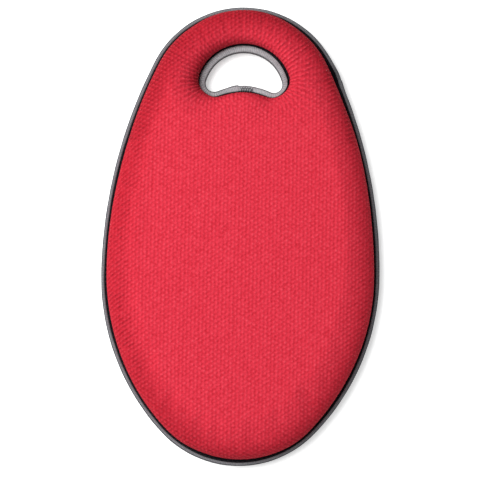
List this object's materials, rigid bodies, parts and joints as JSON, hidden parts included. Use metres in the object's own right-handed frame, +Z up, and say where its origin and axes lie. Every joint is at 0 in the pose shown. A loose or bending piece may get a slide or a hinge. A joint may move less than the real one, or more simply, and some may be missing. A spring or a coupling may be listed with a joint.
{
  "type": "kneeling pad",
  "caption": "Egg-shaped padded kneeling pad with a dimpled fabric cover, taped edges and a D-shaped hand opening near its narrow end.",
  "frame": {"origin": "on the floor under the middle of the outline's box", "axes": "+Y towards the narrow end with the hand opening, +X across, +Z up out of the padded top"},
  "size_m": [0.278, 0.46, 0.04],
  "materials": {
    "top_fabric": "dimpled knitted fabric, red",
    "base_fabric": "plain woven fabric, charcoal",
    "binding_tape": "ribbed woven tape, grey",
    "thread": "twisted polyester thread, grey",
    "memory_foam": "open-cell foam, cream",
    "eva_foam": "closed-cell foam, dark grey"
  },
  "bodies": {
    "root": {"memory_foam_layer": "memory_foam", "eva_foam_layer": "eva_foam", "top_cover": "top_fabric", "base_cover": "base_fabric", "edge_binding": "binding_tape", "handle_binding": "binding_tape", "edge_stitches_top": "thread", "edge_stitches_base": "thread", "handle_stitches_top": "thread", "handle_stitches_base": "thread", "edge_join_bartack": "thread", "handle_join_bartack": "thread"}
  },
  "joints": []
}
